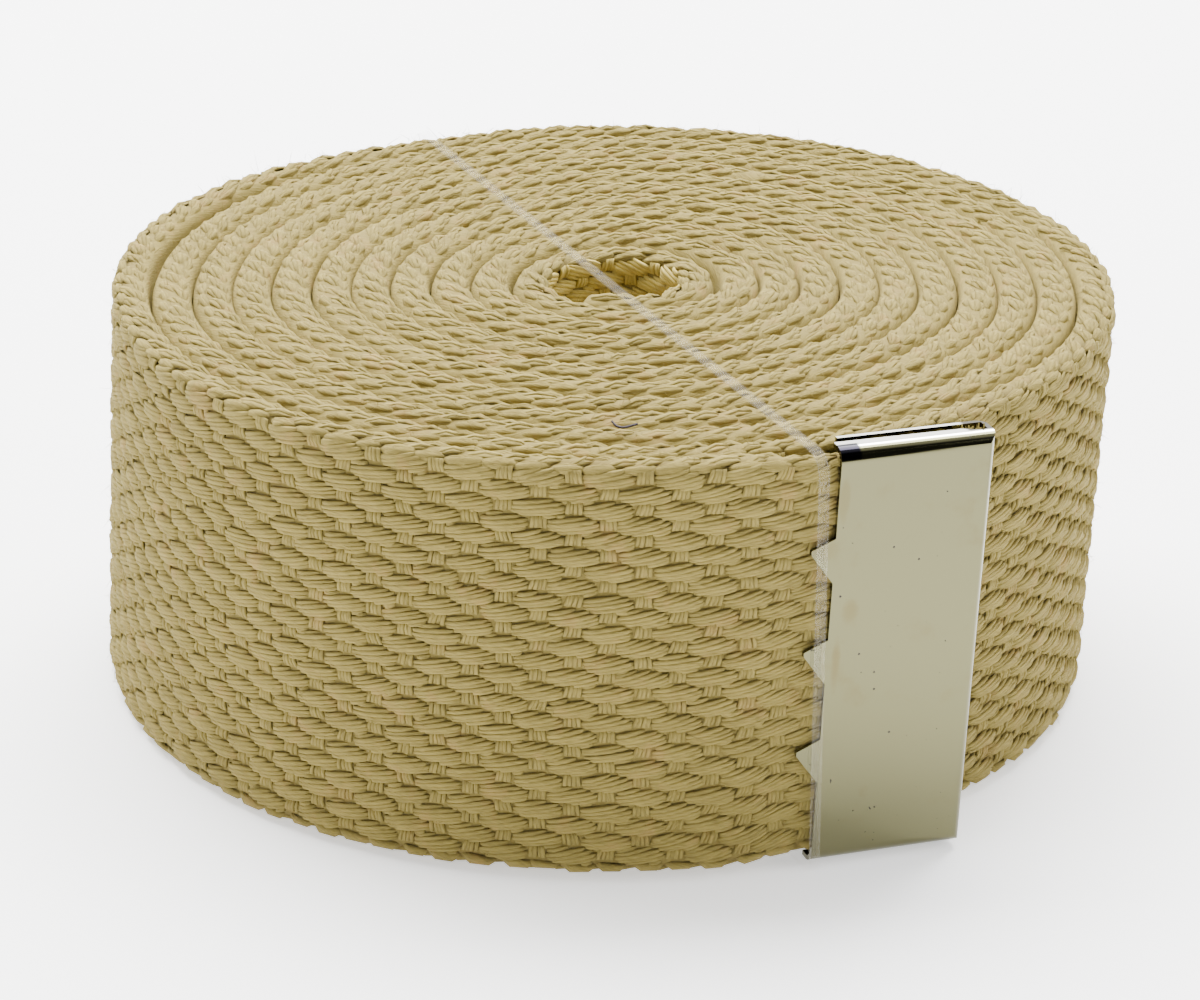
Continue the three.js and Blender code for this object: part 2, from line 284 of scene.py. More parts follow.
# %% A recipe for a material, or for the sky
class Recipe:
    def __init__(self, owner):
        self.owner = owner
        self.owner.use_nodes = True
        self.tree = owner.node_tree
        self.tree.nodes.clear()

    def node(self, kind, settings=None, sockets=None, output=0):
        """Adds a node: its settings first, then the values or wires of its sockets."""
        made = self.tree.nodes.new(kind)
        for key, value in (settings or {}).items():
            setattr(made, key, value)
        for key, value in (sockets or {}).items():
            if isinstance(value, Wire):
                self.tree.links.new(value.socket, made.inputs[key])
            else:
                made.inputs[key].default_value = value
        return Wire(self, made.outputs[output]) if made.outputs else None

    def room_place(self):
        """Where a point of the piece lies in the room."""
        return self.node("ShaderNodeTexCoord", output=3)

    def split(self, vector):
        parts = self.node("ShaderNodeSeparateXYZ", None, {0: vector})
        return [Wire(self, socket) for socket in parts.socket.node.outputs]

    def bump(self, strength, distance, height):
        sockets = {"Strength": strength, "Distance": distance, "Height": height}
        return self.node("ShaderNodeBump", None, sockets)

    def mix(self, share, *colours):
        first, second = [c if isinstance(c, Wire) else (*c, 1) for c in colours]
        return self.node("ShaderNodeMix", {"data_type": "RGBA"}, {0: share, 6: first, 7: second}, 2)

    def noise(self, where, scale, detail=2, roughness=0.5):
        sockets = {"Vector": where, "Scale": scale, "Detail": detail, "Roughness": roughness}
        return self.node("ShaderNodeTexNoise", None, sockets)

    def dot(self, where, course):
        settings = {"operation": "DOT_PRODUCT"}
        return self.node("ShaderNodeVectorMath", settings, {0: where, 1: course}, output=1)

    def attribute(self, name, output=2):
        return self.node("ShaderNodeAttribute", {"attribute_name": name}, None, output)

    def band(self, value, low, high):
        """0 below low, 1 above high, and smooth between."""
        settings = {"interpolation_type": "SMOOTHSTEP", "clamp": True}
        sockets = {0: value, 1: low, 2: high, 3: 0, 4: 1}
        return self.node("ShaderNodeMapRange", settings, sockets)

    def finish(self, **sockets):
        """The shader itself. The names of its sockets are given with _ for a space."""
        named = {key.replace("_", " "): value for key, value in sockets.items()}
        shader = self.node("ShaderNodeBsdfPrincipled", None, named)
        self.node("ShaderNodeOutputMaterial", None, {"Surface": shader})
        return self.owner


# %% [markdown]
# Meshes from arrays
# The web shows some twenty-two thousand yarns and fibres. Making each with Blender's own tools
# would take minutes, so whole families are worked out at once as arrays and joined into one mesh.
# Each yarn is a closed tube: a row of rings, flat underneath, with a cap at either end. Two notes
# ride on every point for the material: where on its yarn it lies, and how deep in the weave.

# %% Make a mesh
total_triangles = 0


def make_mesh(name, points, faces, material, notes=None, replaced="webbing"):
    """A piece from points and a list of face arrays, with notes for its material on its points."""
    global total_triangles
    mesh = bpy.data.meshes.new(name)
    points = np.asarray(points, np.float32).reshape(-1, 3)
    mesh.vertices.add(len(points))
    mesh.vertices.foreach_set("co", points.ravel())
    corners = np.concatenate([rows.ravel() for rows in faces]).astype(np.int32)
    sizes = np.concatenate([np.full(len(rows), rows.shape[1]) for rows in faces])
    starts = np.concatenate([[0], np.cumsum(sizes)[:-1]]).astype(np.int32)
    mesh.loops.add(len(corners))
    mesh.loops.foreach_set("vertex_index", corners)
    mesh.polygons.add(len(sizes))
    mesh.polygons.foreach_set("loop_start", starts)
    mesh.update(calc_edges=True)
    mesh.polygons.foreach_set("use_smooth", np.ones(len(sizes), bool))
    for key, values in (notes or {}).items():
        values = np.asarray(values, np.float32)
        kind, field = ("FLOAT_VECTOR", "vector") if values.ndim == 2 else ("FLOAT", "value")
        mesh.attributes.new(key, kind, "POINT").data.foreach_set(field, values.ravel())
    piece = linked(name, mesh)
    mesh.materials.append(material)
    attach(piece, "root")
    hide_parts(replaced)
    triangles = int((sizes - 2).sum())
    total_triangles += triangles
    print(f"{name}: {triangles} triangles")
    return piece


# %% Make a family of yarns
RING = np.radians([-14, 52, 128, 194])  # round a yarn, whose underside is flat


def walls_between(near, far):
    """The faces between rings and the rings after them, both as the numbers of their points."""
    return np.stack([near, np.roll(near, -1, -1), np.roll(far, -1, -1), far], -1).reshape(-1, 4)


def yarn_family(centre, across, up, wide, deep, ring=RING):
    """Points and faces of many tubes. centre is (yarns, rings, 3); wide and deep are half sizes."""
    centre, across, up = np.broadcast_arrays(centre, across, up)
    yarns, rings, _ = centre.shape
    wide = np.broadcast_to(wide, (yarns, rings))[..., None, None]
    deep = np.broadcast_to(deep, (yarns, rings))[..., None, None]
    cos, sin = np.cos(ring)[:, None], np.sin(ring)[:, None]
    points = centre[:, :, None] + across[:, :, None] * wide * cos + up[:, :, None] * deep * sin
    sides = len(ring)
    number = np.arange(yarns * rings * sides).reshape(yarns, rings, sides)
    caps = np.concatenate([number[:, 0, ::-1], number[:, -1]])
    return points, [walls_between(number[:, :-1], number[:, 1:]), caps]


# %% What each point tells the material
WEB_ROUND = 1.0 * MM  # of the woven edges
YARN_START = 90  # millimetres, the latest start of a yarn in the pattern of fibres


def yarn_notes(rng, centre, points):
    """Where each point lies on its yarn, in millimetres and turns, and its depth in millimetres."""
    yarns, rings, sides, _ = points.shape
    gone = np.linalg.norm(np.diff(centre, axis=1), axis=2)
    gone = np.concatenate([np.zeros((yarns, 1)), np.cumsum(gone, 1)], 1) / MM
    note = np.zeros((yarns, rings, sides, 3))
    note[..., 0] = gone[:, :, None] + rng.uniform(0, YARN_START, (yarns, 1, 1))
    note[..., 1] = np.arange(sides) / sides
    note[..., 2] = rng.uniform(0, 1, (yarns, 1, 1))
    return {"yarn_place": note.reshape(-1, 3), "yarn_depth": depth_in_web(points).ravel()}


def depth_in_web(points):
    """How far under the rounded outline of the web each point lies, in millimetres."""
    over = np.abs(points[..., 1]) - (HALF - WEB_ROUND)
    beyond = np.abs(points[..., 2] - WEB_WIDTH / 2) - (WEB_WIDTH / 2 - WEB_ROUND)
    corner = np.hypot(np.maximum(over, 0), np.maximum(beyond, 0))
    return (WEB_ROUND - corner - np.minimum(np.maximum(over, beyond), 0)) / MM


def woven(name, rng, centres, tubes, material):
    """Winds a family of tubes into the roll, as one piece."""
    points, faces = tubes
    return make_mesh(name, wind(points), faces, material, yarn_notes(rng, centres, points))


# %% [markdown]
# Cotton
# Each yarn is spun from fine fibres that run along it with a slight twist, so its colour and its
# relief are stretched along the yarn. Down between the yarns the cloth is painted darker and
# browner, as painted shade, and each yarn has a tone of its own. In the core of the roll the
# cotton is painted paler, as painted light on the shaded wall of the hole.

# %% Cotton material
COTTON_LIGHT = (0.272, 0.214, 0.057)
COTTON_MIDDLE = (0.165, 0.128, 0.033)
COTTON_PAINTED_SHADE = (0.07, 0.047, 0.011)
COTTON_WARM = (0.29, 0.185, 0.058)
FIBRE_TWIST = 2
FIBRE_RELIEF = 0.16 * MM
YARN_CONTRAST = 0.3
FIBRE_CONTRAST = 2.0
PATCH_CONTRAST = 0.5
SHADE_MIDDLE = 0.93
WARM_SHARE = 0.45
SHADE_DEPTHS = (0.28, 0.8)  # millimetres under the outline, where the shade sets in
PAINTED_SHADE_SHARE = 0.62


def cotton_material(name, paler=1):
    spun = Recipe(bpy.data.materials.new(name))
    light, middle, deep = (
        tuple(paler * part for part in colour) for colour in (COTTON_LIGHT, COTTON_MIDDLE, COTTON_PAINTED_SHADE)
    )
    lengthwise, around, tone = spun.split(spun.attribute("yarn_place", output=1))
    depth = spun.attribute("yarn_depth")
    twisted = {0: lengthwise * 0.9, 1: around * 9 + lengthwise * FIBRE_TWIST, 2: tone * 50}
    fibres = spun.noise(spun.node("ShaderNodeCombineXYZ", None, twisted), 1.0, 4, 0.68)
    patches = spun.noise(spun.room_place(), 120, 3, 0.6)
    shade = tone * YARN_CONTRAST + fibres * FIBRE_CONTRAST + patches * PATCH_CONTRAST - SHADE_MIDDLE
    surface = spun.mix(shade.clamped(), middle, light)
    warm = spun.noise(spun.room_place(), 430, 3, 0.6)
    surface = spun.mix(spun.band(warm, 0.54, 0.74) * WARM_SHARE, surface, COTTON_WARM)
    # Painted shade: the deeper a point lies under the outline of the web, the darker and browner it is
    # painted.
    colour = spun.mix(spun.band(depth, *SHADE_DEPTHS) * PAINTED_SHADE_SHARE, surface, deep)
    relief = spun.bump(0.75, FIBRE_RELIEF, fibres)
    sheen = {"Sheen_Weight": 0.08, "Sheen_Roughness": 0.5, "Sheen_Tint": (*light, 1)}
    return spun.finish(
        Base_Color=colour, Roughness=0.92, Normal=relief, Specular_IOR_Level=0.25, **sheen
    )


cotton = cotton_material("cotton_yarn")
# Painted light: the cotton on the inside of the innermost turn is painted paler, because that wall lies in
# shade.
core_cotton_painted_light = cotton_material("cotton_yarn_painted_light", paler=2.2)

# %% [markdown]
# The body of the web
# Under the yarns that show lies the closed body of the cloth. It could be left out, but then one
# would look through the gaps of the weave into the roll. It is a strip a little thinner than the
# web where yarns cover it, and of full thickness where only the next turn would see it.

# %% Body of the web
PERIOD = 4.77 * MM  # from one float to the next along the web
END_OF_WEB = -(TIP_LEAD + TIP_LENGTH - TIP_SHEET - TIP_CLEARANCE)
COVERED = np.interp(366, back_table, wound_table)  # from here on the outer turn hides the face
CORE = np.interp(360 * (TURNS - 1) - 10, back_table, wound_table)
WEAVE_RECESS = 0.4 * MM
HIDDEN_RECESS = -0.12 * MM  # the wound turns lie against each other
EDGE_RECESS = 0.46 * MM
EDGE_ROUND = 0.98 * MM
BODY_STEP = 1.2 * MM
LAST_STEP = 0.4 * MM  # at least
BODY_GRAIN = 0.8  # how fine the fibres look across the body
BODY_SHADE = 0.1

lengths = np.arange(END_OF_WEB, WOUND, BODY_STEP)
lengths = np.append(lengths[: -1 if WOUND - lengths[-1] < LAST_STEP else None], WOUND)
outer = HALF - np.where(lengths < COVERED, WEAVE_RECESS, HIDDEN_RECESS)
inner = HALF - np.where(lengths > CORE, WEAVE_RECESS, HIDDEN_RECESS)
ring = []
for side, turned in ((1, 0), (-1, 90), (-1, 180), (1, 270)):
    for step in (0, 45, 90):
        corner = math.radians(turned + step)
        reach = (outer if side > 0 else inner) - EDGE_ROUND
        across = side * reach + EDGE_ROUND * math.cos(corner)
        top = WEB_WIDTH - EDGE_RECESS - EDGE_ROUND if turned < 180 else EDGE_RECESS + EDGE_ROUND
        height = np.full(len(lengths), top + EDGE_ROUND * math.sin(corner))
        ring.append(np.stack([lengths, across, height], -1))
points = np.stack(ring, 1)
count, sides, _ = points.shape
number = np.arange(count * sides).reshape(count, sides)
walls = walls_between(number[:-1], number[1:])
caps = np.stack([number[0, ::-1], number[-1]])
place = np.zeros((count, sides, 3))
place[..., 0] = lengths[:, None] / MM
place[..., 1] = points[..., 2] / MM * BODY_GRAIN
place[..., 2] = 0.5  # a middling tone
depth = depth_in_web(points).ravel() + BODY_SHADE
notes = {"yarn_place": place.reshape(-1, 3), "yarn_depth": depth}
make_mesh("web_body", wind(points), [walls, caps], cotton, notes)

# %% [markdown]
# The floats
# On the face, bundles of warp yarns lie over the weft for three quarters of each repeat. Each
# bundle is full and shaped like a grain of rice. Its yarns are plied, so they don't run straight
# along it but cross it, up to the right, and each one shows from where it comes out at the lower
# edge of the bundle to where it goes in at the upper edge. Every second row is set over by half a
# repeat, like bricks. A bundle could be one thick tube with relief in its material, but its outline
# would be too smooth, so each of its yarns is drawn, cut off at the outline of the bundle.

# %% Floats
ROW_COUNT = 26
ROW_PITCH = 1.157 * MM
FIRST_ROW = 1.7 * MM
ROW_SHEAR = 0.04  # each float lies this far back per height, because the weave stands askew
FLOAT_LENGTH = 4.0 * MM
FLOAT_HALF_HEIGHT = 0.68 * MM
YARN_SLOPE = -0.2  # rise of a yarn per length back along the web
YARN_SPACING = 0.29 * MM
YARN_WIDE = 0.23 * MM
YARN_DEEP = 0.2 * MM
FLOAT_CREST = HALF + 0.05 * MM
FLOAT_FALL = 0.38  # how fast the top of a bundle falls to its sides
FLOAT_DIVE = 0.36  # millimetres, at the ends of a bundle
YARN_TUCK = 0.13  # millimetres, at the ends of a yarn
FLOAT_OFFSET = 0.44 * MM  # lines the repeat up with the photograph
FLOAT_PLACES = np.linspace(-1, 1, 41)
FLOAT_OUTLINE = FLOAT_HALF_HEIGHT * (1 - np.abs(FLOAT_PLACES) ** 2.8) ** 0.6
SHORTEST_YARN = 8  # of the places
print("repeat, mm:", PERIOD / MM, "rows:", ROW_COUNT, "float, mm:", FLOAT_LENGTH / MM)


# %% Where the floats lie
def float_centres(first, last, row):
    """Middles of the floats of one row, between two lengths."""
    offset = FLOAT_OFFSET + (0.5 * PERIOD if row % 2 else 0) + ROW_SHEAR * row * ROW_PITCH
    start = math.ceil((first - offset) / PERIOD)
    stop = math.floor((last - offset) / PERIOD)
    return np.arange(start, stop + 1) * PERIOD + offset


# %% Weave the floats
def float_rows(name, rows, first, last, side, seed, rings=6, material=cotton):
    """The floats of some rows on one face of the web. side is 1 outside and -1 inside."""
    rng = np.random.default_rng(seed)
    ease = np.sin(np.linspace(-1, 1, rings) * math.pi / 2)
    thin = np.sqrt(1 - ease**2)
    centres = []
    for row in rows:
        for middle in float_centres(first, last, row) + rng.normal(0, 0.06) * MM:
            half_length = FLOAT_LENGTH / 2 * rng.normal(1, 0.03)
            slope = YARN_SLOPE * rng.normal(1, 0.2)
            height = FIRST_ROW + row * ROW_PITCH + rng.normal(0, 0.04) * MM
            crest = FLOAT_CREST + rng.normal(0, 0.03) * MM
            first_lane = rng.uniform(-0.5, 0.5)
            for yarn in range(-4, 5):
                lane = (yarn + first_lane + rng.normal(0, 0.07)) * YARN_SPACING
                aside = np.abs(lane + slope * half_length * FLOAT_PLACES)
                inside = FLOAT_PLACES[aside < FLOAT_OUTLINE]
                if len(inside) < SHORTEST_YARN:
                    continue
                start, stop = inside[0], inside[-1]
                share = (start + stop) / 2 + (stop - start) / 2 * ease
                aside = lane + slope * half_length * share
                top = crest + rng.normal(0, 0.02) * MM - FLOAT_FALL * aside**2 / FLOAT_HALF_HEIGHT
                dive = YARN_TUCK * (1 - thin) + FLOAT_DIVE * np.abs(share) ** 5
                n = top - YARN_DEEP - dive * MM
                centres.append(np.stack([middle + share * half_length, side * n, height + aside], -1))
    centres = np.array(centres)
    plump = rng.normal(1, 0.07, (len(centres), 1)) * (0.66 + 0.34 * thin)
    sizes = (YARN_WIDE * plump, YARN_DEEP * plump)
    woven(name, rng, centres, yarn_family(centres, (0, 0, side), (0, side, 0), *sizes), material)


MOUTH = -TIP_LEAD - 1.5 * MM  # the weave goes on a little way into the tip
ROWS_PER_PIECE = 9  # so that no piece gets too many triangles
for part, first_row in enumerate(range(0, ROW_COUNT, ROWS_PER_PIECE)):
    rows = range(first_row, min(first_row + ROWS_PER_PIECE, ROW_COUNT))
    float_rows(f"face_floats_{part + 1}", rows, MOUTH, COVERED, 1, 11 + part)
core_span = (CORE, WOUND - 1.2 * MM)
float_rows("core_floats", range(ROW_COUNT), *core_span, -1, 21, rings=5, material=core_cotton_painted_light)

# %% [markdown]
# The weft between the floats
# Between two floats of a row, four short strands of weft show, side by side like the rungs of a
# ladder stood on end. They come out from under the float above and dive under the one below, and
# they lie lower than the floats, so they sit in shade.

# %% Weft strands
WEFT_STRANDS = 4
WEFT_SPACING = 0.29 * MM
WEFT_WIDE = 0.185 * MM
WEFT_DEEP = 0.18 * MM
WEFT_SINK = 0.1 * MM
WEFT_MIDDLE = 0.05  # millimetres above the middle of its row
WEFT_REACH = 0.62  # millimetres up and down from there
WEFT_DIVE = 0.3 * MM


def weft_rows(name, rows, first, last, side, seed, material=cotton):
    rng = np.random.default_rng(seed)
    share = np.array([-1, -0.5, 0.3, 1])
    centres = []
    for row in rows:
        for middle in float_centres(first - PERIOD / 2, last - PERIOD / 2, row) + PERIOD / 2:
            height = FIRST_ROW + row * ROW_PITCH
            splay = rng.normal(-0.06, 0.12)
            for strand in range(WEFT_STRANDS):
                lane = strand - (WEFT_STRANDS - 1) / 2 + rng.normal(0, 0.07)
                s = middle + lane * WEFT_SPACING * (1 - 0.12 * share) + splay * share * 0.6 * MM
                z = height + (WEFT_MIDDLE + WEFT_REACH * share) * MM
                n = HALF - WEFT_SINK - WEFT_DEEP - WEFT_DIVE * np.abs(share - 0.3) ** 3
                n = n + rng.normal(0, 0.035) * MM
                centres.append(np.stack([s, side * n, z], -1))
    centres = np.array(centres)
    points, faces = yarn_family(centres, (side, 0, 0), (0, side, 0), WEFT_WIDE, WEFT_DEEP)
    faces = [rows[:, ::-1] for rows in faces]  # they run up, not along, which turns them inside out
    woven(name, rng, centres, (points, faces), material)


weft_rows("face_weft", range(ROW_COUNT), MOUTH, COVERED, 1, 31)
weft_rows("core_weft", range(ROW_COUNT), *core_span, -1, 32, material=core_cotton_painted_light)

# %% [markdown]
# The edges
# Along both edges the weft turns back round the outer warp yarns, a bundle of yarns at a time. From
# above, each turn of the roll shows three staggered rows of short plump bumps, like a flat braid,
# with small dark hollows between them. A braided cord could be laid along the edge, but the real
# bumps are uneven in length and slant. So each bump is three yarns side by side, the middle one the
# highest, whose two ends dive into the web. Along the foot one yarn will do.

# %% Edge bumps
BUMP_PITCH = PERIOD / 2
BUMP_LENGTH = 2.65 * MM
BUMP_SPACING = 16  # degrees from one strand of a bump to the next, round the edge
BUMP_CROWN = 0.1 * MM  # how much lower the outer strands lie
BUMP_DIVE = 0.42 * MM  # at either end of a bump
EDGE_HEIGHT = 1.0 * MM
EDGE_BULGE = 0.09 * MM  # the fuzz of the edges fills the gap between two turns
# Of each row: degrees round the edge, shift along it in bumps, slant in degrees
BUMP_ROWS = [(38, 0, 12), (88, 0.5, 26), (139, 0, 22)]


def edge_bumps(name, first, last, top, seed, strands=3, rings=5, wide=0.28 * MM, deep=0.24 * MM):
    rng = np.random.default_rng(seed)
    share = np.sin(np.linspace(-1, 1, rings) * math.pi / 2)
    crown = 1 - share**2
    upwards = 1 if top else -1
    centres = []
    ups = []
    for round_edge, shift, row_slant in BUMP_ROWS:
        for bump in range(int((last - first) / BUMP_PITCH)):
            middle = first + (bump + 0.5 + shift) * BUMP_PITCH + rng.normal(0, 0.16) * MM
            length = BUMP_LENGTH * rng.normal(1, 0.1)
            slant = row_slant * rng.normal(1, 0.3)
            base = round_edge + rng.normal(0, 4)
            low = rng.uniform(0, 0.16) * MM
            for strand in range(strands):
                lane = strand - (strands - 1) / 2 + rng.normal(0, 0.1)
                sink = low + BUMP_DIVE * np.abs(share) ** 2.6 + BUMP_CROWN * lane**2
                turned = np.radians(base - slant * share + lane * BUMP_SPACING * (0.5 + 0.5 * crown))
                cos, sin = np.cos(turned), np.sin(turned)
                n = (HALF + EDGE_BULGE - deep) * np.sign(cos) * np.abs(cos) ** 0.88 - sink * cos
                z = (EDGE_HEIGHT - deep) * np.sign(sin) * np.abs(sin) ** 0.95 - sink * sin
                z = WEB_WIDTH / 2 + upwards * (WEB_WIDTH / 2 - EDGE_HEIGHT + z)
                centres.append(np.stack([middle + share * length / 2, n, z], -1))
                ups.append(np.stack([0 * share, cos, sin * upwards], -1))
    centres, ups = np.array(centres), np.array(ups)
    across = np.stack([ups[..., 0], -ups[..., 2], ups[..., 1]], -1)
    size = np.clip(rng.normal(1, 0.08, (len(centres), 1)), 0.8, 1.1) * (0.62 + 0.38 * np.sqrt(crown))
    woven(name, rng, centres, yarn_family(centres, across, ups, wide * size, deep * size), cotton)


halfway = (END_OF_WEB + WOUND) * 0.5
edge_bumps("top_edge_outer", END_OF_WEB, halfway, True, 41)
edge_bumps("top_edge_inner", halfway, WOUND, True, 42)
edge_bumps("foot_edge", END_OF_WEB, WOUND, False, 43, 1, rings=4, wide=0.5 * MM, deep=0.4 * MM)

# %% [markdown]
# Loose fibres
# Cotton is never quite smooth: short ends stand off it everywhere, most along the rims. A particle
# system could grow them, but it would ride badly in the finished part. So each is a very thin
# bent tube, rooted in the yarns. One dark fibre has settled on the roll, and a tuft of the web's
# cut end fills the open corner of the metal tip.

# %% Loose fibres
HAIR_THICK = 0.018 * MM
HAIR_RING = np.radians([-30, 90, 210])


def hairs(name, roots, leave, length, seed, thick=HAIR_THICK, curl=0.45):
    """Bent fibres. roots and leave, the way each leaves, are in the flat web's three numbers."""
    rng = np.random.default_rng(seed)
    count = len(roots)
    t = np.linspace(0, 1, 4)[None, :, None]
    leave = unit(leave)
    bend = rng.normal(0, curl, (count, 3))
    run = leave[:, None] * t + bend[:, None] * t**2
    centres = roots[:, None] + run * np.broadcast_to(length, count)[:, None, None]
    across = unit(np.cross(leave, rng.normal(0, 1, (count, 3))))[:, None]
    ups = np.cross(np.broadcast_to(leave[:, None], across.shape), across)
    taper = thick * np.array([1, 0.9, 0.75, 0.4])
    points, faces = yarn_family(centres, across, ups, taper, taper, HAIR_RING)
    notes = yarn_notes(rng, centres, points)
    notes["yarn_place"][:, 2] = 0.8 + 0.2 * notes["yarn_place"][:, 2]  # loose fibres are pale
    notes["yarn_depth"][:] = 0  # and unshaded
    return make_mesh(name, wind(points), faces, cotton, notes)


def rim_hairs(count, seed):
    rng = np.random.default_rng(seed)
    s = rng.uniform(END_OF_WEB, WOUND, count)
    turned = np.radians(rng.uniform(10, 170, count))
    n = (HALF - 0.1 * MM) * np.cos(turned)
    z = WEB_WIDTH - EDGE_HEIGHT + (EDGE_HEIGHT - 0.15 * MM) * np.sin(turned)
    leave = np.stack([rng.normal(0, 1.3, count), np.cos(turned) * 0.4, 0.25 + 0.5 * np.sin(turned)], -1)
    return hairs("rim_fibres", np.stack([s, n, z], -1), leave, rng.uniform(0.3, 0.8, count) * MM, seed)


def face_hairs(count, seed):
    rng = np.random.default_rng(seed)
    s = rng.uniform(MOUTH, COVERED, count)
    z = rng.uniform(1, WEB_WIDTH / MM - 1, count) * MM
    leave = np.stack([rng.normal(0, 1, count), rng.uniform(0.1, 0.4, count), rng.normal(0, 1, count)], -1)
    roots = np.stack([s, np.full(count, HALF - 0.12 * MM), z], -1)
    return hairs("face_fibres", roots, leave, rng.uniform(0.3, 0.9, count) * MM, seed)


rim_hairs(3600, 51)
face_hairs(2800, 52)


# %% Tuft in the corner of the tip
def tip_tuft(count, seed):
    """Ends of yarns that stand up where the flange of the tip is cut away. In millimetres."""
    rng = np.random.default_rng(seed)
    in_tip = rng.uniform(9.6, 11.1, count)  # from the mouth of the tip
    nearest = np.clip((in_tip - 9.4) / 1.3, 0, 1) * 0.95 - 0.55
    n = (-0.95 + rng.uniform(0, 1, count) * (nearest + 0.95)) * MM * HALF / (HALF - SQUEEZE)
    roots = np.stack([-TIP_LEAD - in_tip * MM, n, np.full(count, WEB_WIDTH - 0.9 * MM)], -1)
    leave = np.stack([rng.normal(0, 0.25, count), rng.normal(-0.1, 0.08, count), np.ones(count)], -1)
    length = rng.uniform(0.85, 1.3, count) * MM
    return hairs("tip_tuft", roots, leave, length, seed, thick=0.15 * MM, curl=0.15)


tip_tuft(110, 53)


# %% A settled fibre
STRAY_THICK = 0.1 * MM
STRAY_COLOURS = [(0.02, 0.009, 0.016), (0.012, 0.0054, 0.0096)]
STRAY_PLACES = [  # millimetres, in the room
    (0.55, -31.3, 32.35),
    (0.85, -31.9, 32.2),
    (1.3, -32.1, 32.15),
    (1.8, -31.9, 32.2),
    (2.35, -31.7, 32.3),
]

dyed = Recipe(bpy.data.materials.new("purple_stray"))
streak = dyed.noise(dyed.room_place(), 3000)
material = dyed.finish(Base_Color=dyed.mix(streak, *STRAY_COLOURS), Roughness=0.7)
line = np.array(STRAY_PLACES) * MM
t = np.linspace(0, len(line) - 1, 3 * len(line))
line = np.stack([np.interp(t, np.arange(len(line)), line[:, k]) for k in range(3)], -1)
line[1:-1] = (line[:-2] + line[1:-1] + line[2:]) / 3
course = unit(np.gradient(line, axis=0))
across = np.cross(course, (0, 0, 1))
ups = np.cross(across, course)
sizes = (STRAY_THICK, STRAY_THICK, HAIR_RING)
points, faces = yarn_family(line[None], across[None], ups[None], *sizes)
make_mesh("purple_stray", points, faces, material)

# %% [markdown]
# The metal tip
# The tip is a strip of thin nickelled steel, folded round the end of the web and pressed flat, with
# two flanges bent in over the web's edges and three teeth at its mouth. It could be a plain box
# with a metal finish, but its bends are what catches the light. So it is cut from the outlines of
# the measured one, with rounder bends, and its sheet edges get a fine bevel.

# %% Sizes of the tip
SHOULDER_RADIUS = 1.05 * MM
FOLD_RADIUS = 0.8 * MM
BACK_SETBACK = 0.5 * MM
SLIT_AT_MOUTH = 0.65 * MM
SLIT_AT_FOLD = 0.8 * MM
FLANGE_LOW_END = 0.9 * MM
FLANGE_HIGH_END = 2.2 * MM
BEND_STEPS = 14
TOOTH_COUNT = 3
TOOTH_PITCH = 7.75 * MM
TOOTH_BASE = 3.4 * MM
TOOTH_POINT = 0.3 * MM
TOOTH_TILT = 0.8 * MM
TIP_HALF = HALF + TIP_WALL
FLANGE_FRONT = SHOULDER_RADIUS + 0.06 * MM - TIP_HALF  # just behind the bend
TIP_FOOT = END_RISE - TIP_WALL
TIP_TOP = END_RISE + WEB_WIDTH + TIP_WALL


# %% Shapes cut from outlines
def soft_rectangle(low, high, radius, first_round):
    """A rectangle with two of its corners rounded, as a list of points."""
    corners = [(low[0], low[1]), (high[0], low[1]), (high[0], high[1]), (low[0], high[1])]
    outline = []
    for i, (x, y) in enumerate(corners):
        rounded = i in (first_round, (first_round + 1) % 4)
        reach = radius if rounded else 0
        cx = x + reach * (1 if x == low[0] else -1)
        cy = y + reach * (1 if y == low[1] else -1)
        for step in range(BEND_STEPS + 1 if rounded else 1):
            turned = math.pi * (1 + i / 2) + math.pi / 2 * step / BEND_STEPS
            outline.append((cx + reach * math.cos(turned), cy + reach * math.sin(turned)))
    return outline


def prism(name, outline, depth, moved=Matrix.Identity(4)):
    """A solid with that outline, standing depth high, then moved into place."""
    count = len(outline)
    points = [(x, y, z) for z in (0, depth) for x, y in outline]
    faces = [tuple(range(count))[::-1], tuple(range(count, 2 * count))]
    faces += [(i, (i + 1) % count, (i + 1) % count + count, i + count) for i in range(count)]
    mesh = bpy.data.meshes.new(name)
    mesh.from_pydata(points, [], faces)
    mesh.transform(moved)
    return linked(name, mesh)


def settle(piece):
    """Makes the shape that its modifiers give a piece its own."""
    ready = piece.evaluated_get(bpy.context.evaluated_depsgraph_get())
    mesh = bpy.data.meshes.new_from_object(ready)
    piece.modifiers.clear()
    piece.data = mesh


def combined(body, others, operation):
    """The body with the others cut from it, joined to it or kept in common; they are removed."""
    for other in others:
        modifier = body.modifiers.new(operation, "BOOLEAN")
        modifier.operation = operation
        modifier.solver = "EXACT"
        modifier.object = other
    settle(body)
    for other in others:
        bpy.data.objects.remove(other)
    return body


def bent_box(name, start, length, half, low, high, shoulder, fold):
    """A box whose front and free end are bent round."""
    plan = prism(name, soft_rectangle((start, -half), (length, half), fold, 1), high - low)
    plan.data.transform(Matrix.Translation((0, 0, low)))
    # The end outline is drawn in Y and Z and runs along X.
    stood = Matrix.Translation((start, 0, 0)) @ Matrix.Rotation(math.pi / 2, 4, "Z")
    stood = stood @ Matrix.Rotation(math.pi / 2, 4, "X")
    outline = soft_rectangle((-half, low), (half, high), shoulder, 3)
    return combined(plan, [prism(name + "_ends", outline, length - start, stood)], "INTERSECT")


